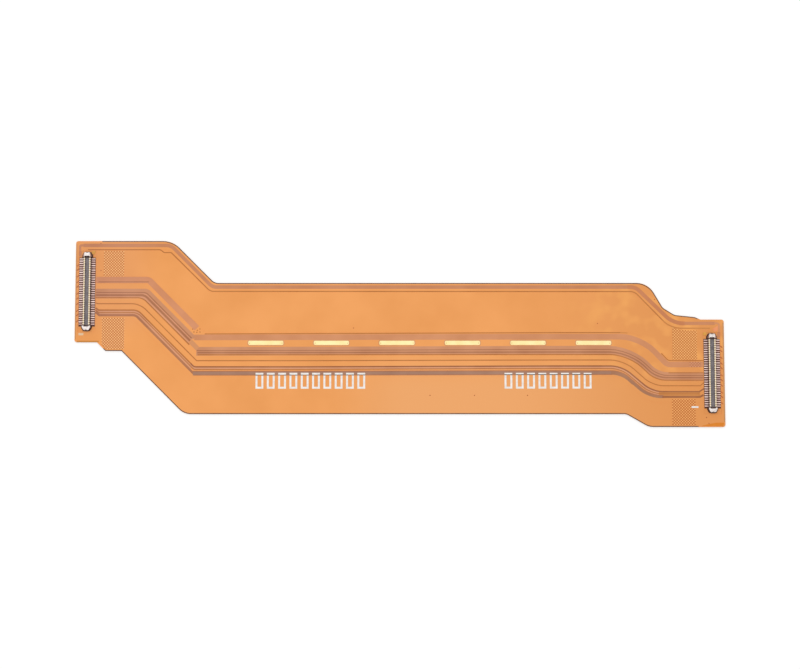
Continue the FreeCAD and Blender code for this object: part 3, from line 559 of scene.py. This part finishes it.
def hatch_finish(name, opening, bar):
    """Film over a copper mesh that runs at 45 degrees."""
    finish, shader = new_finish(name, FILM_ROUGHNESS, FILM_SPECULAR)
    tree = finish.node_tree
    place = tree.nodes.new("ShaderNodeTexCoord")
    turned = tree.nodes.new("ShaderNodeMapping")
    turned.inputs["Rotation"].default_value = (0, 0, math.radians(45))
    turned.inputs["Scale"].default_value = (1 / (HATCH_PITCH * MM),) * 3
    axes = tree.nodes.new("ShaderNodeSeparateXYZ")
    bars = tree.nodes.new("ShaderNodeMath")
    bars.operation = "MAXIMUM"
    for socket, axis in enumerate("XY"):
        phase = tree.nodes.new("ShaderNodeMath")
        phase.operation = "MULTIPLY"
        phase.inputs[1].default_value = 2 * math.pi
        wave = tree.nodes.new("ShaderNodeMath")
        wave.operation = "COSINE"
        tree.links.new(axes.outputs[axis], phase.inputs[0])
        tree.links.new(phase.outputs[0], wave.inputs[0])
        tree.links.new(wave.outputs[0], bars.inputs[socket])
    tones = tree.nodes.new("ShaderNodeValToRGB")
    tones.color_ramp.elements[0].position = 0.2
    tones.color_ramp.elements[0].color = screen(*opening)
    tones.color_ramp.elements[1].position = 0.55
    tones.color_ramp.elements[1].color = screen(*bar)
    tree.links.new(place.outputs["Object"], turned.inputs["Vector"])
    tree.links.new(turned.outputs["Vector"], axes.inputs[0])
    tree.links.new(bars.outputs[0], tones.inputs["Fac"])
    tree.links.new(tones.outputs["Color"], shader.inputs["Base Color"])
    fine_grain(finish, shader, FILM_GRAIN, FILM_GRAIN_DEPTH)
    return finish


def lay_patch(name, corners, finish, layer=0, level=COVER_Z):
    """A thin flat patch of film skin with the given corners in millimetres."""
    low = level + layer * LAYER - SKIN_SINK
    patch = draw_line(name, [((x, y, low), radius) for x, y, radius in corners], closed=True)
    bpy.ops.mesh.edge_face_add()
    bpy.ops.mesh.extrude_region_move(TRANSFORM_OT_translate={"value": (0, 0, SKIN_SINK + SKIN_RISE)})
    put_in_place(patch, finish)


hatched_film = hatch_finish("hatched_film", (255, 194, 122), (202, 116, 54))
pale_hatched_film = hatch_finish("pale_hatched_film", (255, 199, 136), (204, 117, 59))
deep_hatched_film = hatch_finish("deep_hatched_film", (252, 185, 113), (196, 107, 46))
lay_patch("left_upper_hatch", [(-45.72, 12.85, 0), (-42.56, 12.85, 0), (-42.56, 8.9, 0), (-45.72, 8.9, 0)],
          pale_hatched_film)
lay_patch("left_lower_hatch", [(-45.86, 2.45, 0), (-42.4, 2.45, 0), (-42.4, -2.4, 0), (-45.15, -2.4, 0),
                               (-45.86, -1.72, 0)], pale_hatched_film)
lay_patch("right_upper_hatch", [(42.06, 0.98, 0), (43.2, 0.6, 0), (44.5, 0.48, 0), (45.85, 0.48, 0),
                                (45.85, -4.02, 0), (42.06, -4.02, 0)], hatched_film)
lay_patch("right_lower_hatch", [(41.9, -10.15, 0), (45.5, -10.15, 0), (45.5, -14.15, 0), (41.9, -14.15, 0)],
          deep_hatched_film)
lay_patch("right_band_hatch", [(44.7, -4.36, 0), (46.4, -4.36, 0), (46.4, -5.18, 0), (44.7, -5.18, 0)],
          hatch_finish("hatched_band", (220, 156, 116), (194, 124, 88)), 2)


# The adhesive of the stiffeners and the ends of the film.
# It has crept out a little at the right end's corner and by the plugs' upper ends, deep yellow,
# and the film darkens along its cut ends. A coral patch near the right end's upper corner is a painted highlight.
lay_patch("bond_bleed", [(46.2, -14.3, 0), (49.7, -14.27, 0), (49.9, -13.75, 0), (48.6, -13.75, 0),
                         (47.4, -13.98, 0)], film_finish("bond_bleed", (220, 128, 36), (232, 140, 46), 2 * MM))
yellow_bond = film_finish("yellow_bond", (222, 158, 66), (230, 168, 78), 1 * MM)
lay_patch("left_bond_spot", [(-47.6, 12.85, 0.1), (-47.05, 12.85, 0.1), (-47.05, 12.35, 0.1), (-47.6, 12.35, 0.1)],
          yellow_bond)
lay_patch("right_bond_spot", [(46.9, 0.2, 0.1), (47.4, 0.2, 0.1), (47.3, -0.25, 0.1), (46.8, -0.25, 0.1)],
          yellow_bond)
# Painted highlight: a coral patch where a fold in the film catches the light.
lay_patch("right_fold_highlight", [(48.25, 0.7, 0), (49.1, 1.2, 0), (49.1, 0.5, 0), (48.6, 0.25, 0)],
          film_finish("coral_fold_highlight", (236, 148, 98), (246, 158, 108), 1 * MM))
end_skin = film_finish("end_skin", (206, 144, 84), (216, 154, 94), 2 * MM)
dark_end_skin = film_finish("dark_end_skin", (190, 138, 88), (200, 148, 98), 2 * MM)
foot_skin = film_finish("foot_skin", (202, 132, 56), (214, 144, 66), 2 * MM)
put_in_place(lay_strip("left_film_end", [(-49.93, 13.9, 0), (-49.93, -0.9, 0)], 0.15), end_skin)
put_in_place(lay_strip("left_film_foot", [(-49.7, -1.22, 0), (-46.3, -1.22, 0)], 0.2), foot_skin)
put_in_place(lay_strip("right_film_end", [(49.93, 1.7, 0), (49.93, -13.6, 0)], 0.15), dark_end_skin)


# The white print.
# Two rows of plain outlined boxes stand where such cables carry their printing, with a dash at each
# plug's first contact, in matt white ink.
PRINT_STROKE = 0.3
BOX_WIDTH = 0.9
BOX_PITCH = 1.74
white_ink, ink_shader = new_finish("white_ink", 0.7, 0.2)
drifting_colour(white_ink, ink_shader, screen(236, 230, 224), screen(250, 247, 243), 0.5 * MM)
for name, x, low, high, count in (("left_print_row", -21.95, -8.37, -6.22, 10),
                                  ("right_print_row", 16.34, -8.35, -6.22, 8)):
    box = [(x, low, 0), (x, high, 0), (x + BOX_WIDTH, high, 0), (x + BOX_WIDTH, low, 0)]
    row = lay_strip(name, box, PRINT_STROKE, 4, closed=True)
    repeat_piece(row, (BOX_PITCH, 0, 0), count)
    put_in_place(row, white_ink)
thin_ink = film_finish("thin_ink", (226, 190, 150), (236, 204, 168), 0.5 * MM)
put_in_place(lay_strip("left_print_dash", [(-49.45, -0.09, 0), (-48.7, -0.09, 0)], 0.36), thin_ink)
put_in_place(lay_strip("right_print_dash", [(44.88, -11.34, 0), (45.95, -11.34, 0)], 0.26, 1), white_ink)


# Vias.
# Plated holes under the film show as small dark dimples.
via_skin = film_finish("via_skin", (176, 96, 52), (192, 110, 62), 1 * MM)
for number, (x, y) in enumerate([(-7.05, 0.86), (30.58, 1.56), (4.73, -9.54), (11.56, -9.54), (19.71, -9.54),
                                 (-46.2, 14.02), (-46.13, 9.81), (47.16, -12.95), (47.52, -13.87),
                                 (39.42, 5.29), (-31.85, 0.7), (-30.72, 0.7),
                                 (-31.15, 0.5), (-31.65, 0.24), (-31.2, 0.2), (-30.72, 0.24)], start=1):
    via = draw_dimple(f"via_{number}", (x, y, COVER_Z - SKIN_SINK), radius=0.09, sides=14,
                      height=SKIN_SINK + SKIN_RISE, rim=0.03, dent=SKIN_RISE / 2)
    put_in_place(via, via_skin)


# The floor of each plug's window.
# Between and around the soldered tails the bare base film is painted dark brown, as painted shade in the
# narrow gaps between the tails. The floor is as wide as the rows of lands, and narrows at both ends to go round the
# fittings.
# Painted shade: the window floor is painted dark brown where it lies in the gaps between the raised tails.
tail_gap_shade_film = film_finish("tail_gap_shade_film", (70, 40, 32), (98, 58, 44), 0.6 * MM)
ROW_HALF = 5.3
ROW_HALF_LOW = 5.45
for side in ("left", "right"):
    low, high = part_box(f"{side}_solder_lands")
    x, y = (low[0] + high[0]) / 2 / MM, (low[1] + high[1]) / 2 / MM
    half = (high[0] - low[0]) / 2 / MM + 0.02
    quarter = [(half, 0), (half, ROW_HALF), (0.86, ROW_HALF), (0.82, 5.7), (0.56, 6.13), (0, 6.13)]
    floor_corners = ([(x + dx, y + dy, 0) for dx, dy in quarter[1:-1]]
                     + [(x - dx, y + dy, 0) for dx, dy in quarter[-2:0:-1]]
                     + [(x - dx, y - max(dy, ROW_HALF_LOW), 0) for dx, dy in quarter[1:-1]]
                     + [(x + dx, y - max(dy, ROW_HALF_LOW), 0) for dx, dy in quarter[-2:0:-1]])
    lay_patch(f"{side}_window_floor", floor_corners, tail_gap_shade_film, level=BASE_Z)


# The fan of short traces behind each plug.
# From the outer tails they slant away to vias near the film's end.
TRACE_COUNT = 11
TRACE_PITCH = 0.88
trace_skin = film_finish("trace_skin", (184, 100, 58), (200, 116, 70), 1 * MM)
for side, turn in (("left", -1), ("right", 1)):
    low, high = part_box(f"{side}_solder_lands")
    start = (low[0] if turn < 0 else high[0]) / MM + turn * TAIL_GAP
    for number in range(TRACE_COUNT):
        y = low[1] / MM + 0.7 + number * TRACE_PITCH + 0.12 * math.sin(number * 2.3)
        run = [(start - turn * 0.02, y, 0), (start + turn * 0.25, y - 0.3, 0)]
        put_in_place(lay_strip(f"{side}_trace_{number + 1}", run, 0.16), trace_skin)


# The board plugs' mouldings and lands.
# Dark moulded bars with a trench along them. Their ends are painted darkest, a painted shadow at the trench's
# ends by the fittings, and the walls' tops are painted pale, a painted highlight. They stand on lands dull with
# solder.
def distance_from_plug(finish, axis, start, end):
    """A node output that goes from 0 to 1 between two distances from a plug's middle along X or Y."""
    left, right = ((low["XY".index(axis)] + high["XY".index(axis)]) / 2
                   for low, high in (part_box("left_plug_housing"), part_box("right_plug_housing")))
    tree = finish.node_tree
    place = tree.nodes.new("ShaderNodeTexCoord")
    axes = tree.nodes.new("ShaderNodeSeparateXYZ")
    tree.links.new(place.outputs["Object"], axes.inputs[0])
    value = axes.outputs[axis]
    for operation, amount in (("SUBTRACT", (left + right) / 2), ("ABSOLUTE", 0),
                              ("SUBTRACT", abs(right - left) / 2), ("ABSOLUTE", 0)):
        step = tree.nodes.new("ShaderNodeMath")
        step.operation = operation
        step.inputs[1].default_value = amount
        tree.links.new(value, step.inputs[0])
        value = step.outputs[0]
    share = tree.nodes.new("ShaderNodeMapRange")
    share.inputs["From Min"].default_value = start
    share.inputs["From Max"].default_value = end
    tree.links.new(value, share.inputs["Value"])
    return share.outputs["Result"]


moulding, moulding_shader = new_finish("plug_moulding", 0.55)
colour = drifting_colour(moulding, moulding_shader, screen(108, 101, 104), screen(131, 123, 126), 0.5 * MM)
# Painted highlight: the walls' tops are painted pale.
colour = mix_in(moulding, moulding_shader, colour, screen(232, 200, 154),
                share_along(moulding, "Z", 0.84 * MM, 0.88 * MM))
# Painted shadow: the bars' ends are painted darkest.
mix_in(moulding, moulding_shader, colour, screen(80, 50, 42),
       distance_from_plug(moulding, "Y", 5.17 * MM, 5.24 * MM))
fine_grain(moulding, moulding_shader, 0.06 * MM, 0.01 * MM)
land_tin, land_shader = new_finish("land_tin", 0.45, metallic=0.4)
drifting_colour(land_tin, land_shader, screen(104, 68, 56), screen(134, 94, 80), 0.25 * MM)
for side in ("left", "right"):
    dress(f"{side}_plug_housing", moulding)
    dress(f"{side}_solder_lands", land_tin)
    dress(f"{side}_fitting_lands", land_tin)


# The plugs' contacts.
# Strips stamped and bent over the trench's walls: gold where the mating half wipes them, painted near white
# there as a painted highlight, with tinned tails, some brighter than others, that are painted dark beside the wall as
# painted shade.
CONTACT_COUNT = 30
CONTACT_WIDTH = 0.15
METAL = 0.06
WALL = 0.15
MATING_LEG = 0.27
contact_metal, contact_shader = new_finish("contact_metal", 0.35, metallic=0.1)
colour = drifting_colour(contact_metal, contact_shader, screen(200, 160, 150), screen(255, 228, 220), 0.45 * MM,
                         stretch=(0.15, 1, 1))
# Painted shade: the contacts darken beside the wall.
colour = mix_in(contact_metal, contact_shader, colour, screen(104, 64, 50),
                distance_from_plug(contact_metal, "X", 0.72 * MM, 0.59 * MM))
# Painted highlight: the gold crests are painted near white.
mix_in(contact_metal, contact_shader, colour, screen(255, 242, 214),
       share_along(contact_metal, "Z", 0.86 * MM, 0.92 * MM))
for side in ("left", "right"):
    housing_low, housing_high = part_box(f"{side}_plug_housing")
    middle = (housing_low[0] + housing_high[0]) / 2 / MM
    for row in ("outer", "inner"):
        node = f"{side}_plug_{row}_contacts"
        low, high = (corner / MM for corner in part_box(node))
        outward = 1 if low[0] > middle else -1
        leg, tail_end = (low[0], high[0]) if outward > 0 else (high[0], low[0])
        leg += outward * METAL / 2
        wall = leg + outward * (WALL + METAL)
        top, foot = high[2] - METAL / 2, low[2] + METAL / 2
        profile = [(leg, top - MATING_LEG, 0), (leg, top, 0.1), (wall, top, 0.1), (wall, foot, 0.07),
                   (tail_end, foot, 0)]
        contacts = draw_line(f"{side}_{row}_contact_row", [((x, low[1], z), bend) for x, z, bend in profile])
        widen(contacts, (0, CONTACT_WIDTH, 0), METAL)
        pitch = (high[1] - low[1] - CONTACT_WIDTH) / (CONTACT_COUNT - 1)
        repeat_piece(contacts, (0, pitch, 0), CONTACT_COUNT)
        put_in_place(contacts, contact_metal)
        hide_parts(node)


# The plugs' hold-down fittings.
# Bright plates bent down over both ends of a plug, with a notched crown, a bevelled rim painted dark as a painted
# reflection, and a foot soldered to its land, its leg painted dark as painted shadow. The upper ones are darker at
# both sides.
def plate_finish(name, wings=None):
    """Tin on a fitting, with wings of the given tone where there is one."""
    finish, shader = new_finish(name, 0.4, metallic=0.3)
    colour = drifting_colour(finish, shader, screen(204, 192, 186), screen(234, 226, 222), 0.3 * MM)
    if wings:
        mix_in(finish, shader, colour, screen(*wings), distance_from_plug(finish, "X", 0.4 * MM, 0.5 * MM))
    return finish


# The upper plates are darker at both sides.
plate_finishes = {"upper": plate_finish("side_darkened_tin", (150, 104, 88)), "lower": plate_finish("plate_tin")}
CROWN_STEP = 0.1
LEG_HALF = 0.3
# Painted reflection: the plates' bevelled rims are painted dark.
shaded_rim_tin, shaded_rim_shader = new_finish("shaded_rim_tin", 0.45, metallic=0.3)
drifting_colour(shaded_rim_tin, shaded_rim_shader, screen(92, 70, 62), screen(134, 110, 98), 0.2 * MM)
for side in ("left", "right"):
    for end, up in (("upper", 1), ("lower", -1)):
        node = f"{side}_plug_{end}_fitting"
        low, high = (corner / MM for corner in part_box(node))
        x, half = (low[0] + high[0]) / 2, (high[0] - low[0]) / 2
        mouth, toe = (low[1], high[1]) if up > 0 else (high[1], low[1])
        crown = toe - up * CROWN_STEP
        half_outline = [(0.33, mouth + up * 0.14), (0.4, mouth), (half - 0.04, mouth), (half, mouth + up * 0.08),
                        (half - 0.03, mouth + up * 0.28), (0.44, crown - up * 0.06), (0.36, crown),
                        (0.14, crown), (0.06, crown - up * 0.08)]
        outline = [(x + dx, y) for dx, y in half_outline] + [(x - dx, y) for dx, y in half_outline[::-1]]
        plate = draw_line(f"{side}_{end}_hold_down", [((cx, cy, high[2] - METAL), 0) for cx, cy in outline],
                          closed=True)
        bpy.ops.mesh.edge_face_add()
        bpy.ops.mesh.extrude_region_move(TRANSFORM_OT_translate={"value": (0, 0, METAL)})
        bpy.ops.mesh.select_all(action="SELECT")
        bpy.ops.mesh.normals_make_consistent(inside=False)
        bpy.ops.object.mode_set(mode="OBJECT")
        plate.data.materials.append(plate_finishes[end])
        plate.data.materials.append(shaded_rim_tin)
        rounded = plate.modifiers.new("rounded", "BEVEL")
        rounded.width = 0.025
        rounded.segments = 2
        rounded.material = 1
        bpy.ops.object.modifier_apply(modifier="rounded")
        leg_y = crown - up * METAL / 2
        leg = draw_line(f"{side}_{end}_hold_down_leg",
                        [((x - LEG_HALF, leg_y, high[2] - METAL), 0),
                         ((x - LEG_HALF, leg_y, low[2] + METAL / 2), 0.05),
                         ((x - LEG_HALF, toe, low[2] + METAL / 2), 0)])
        widen(leg, (2 * LEG_HALF, 0, 0), METAL)
        # Painted shadow: the bent-down leg is painted dark.
        leg.data.materials.append(shaded_rim_tin)
        bpy.ops.object.select_all(action="DESELECT")
        leg.select_set(True)
        plate.select_set(True)
        bpy.context.view_layer.objects.active = plate
        bpy.ops.object.join()
        put_in_place(plate, plate_finishes[end])
        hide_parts(node)
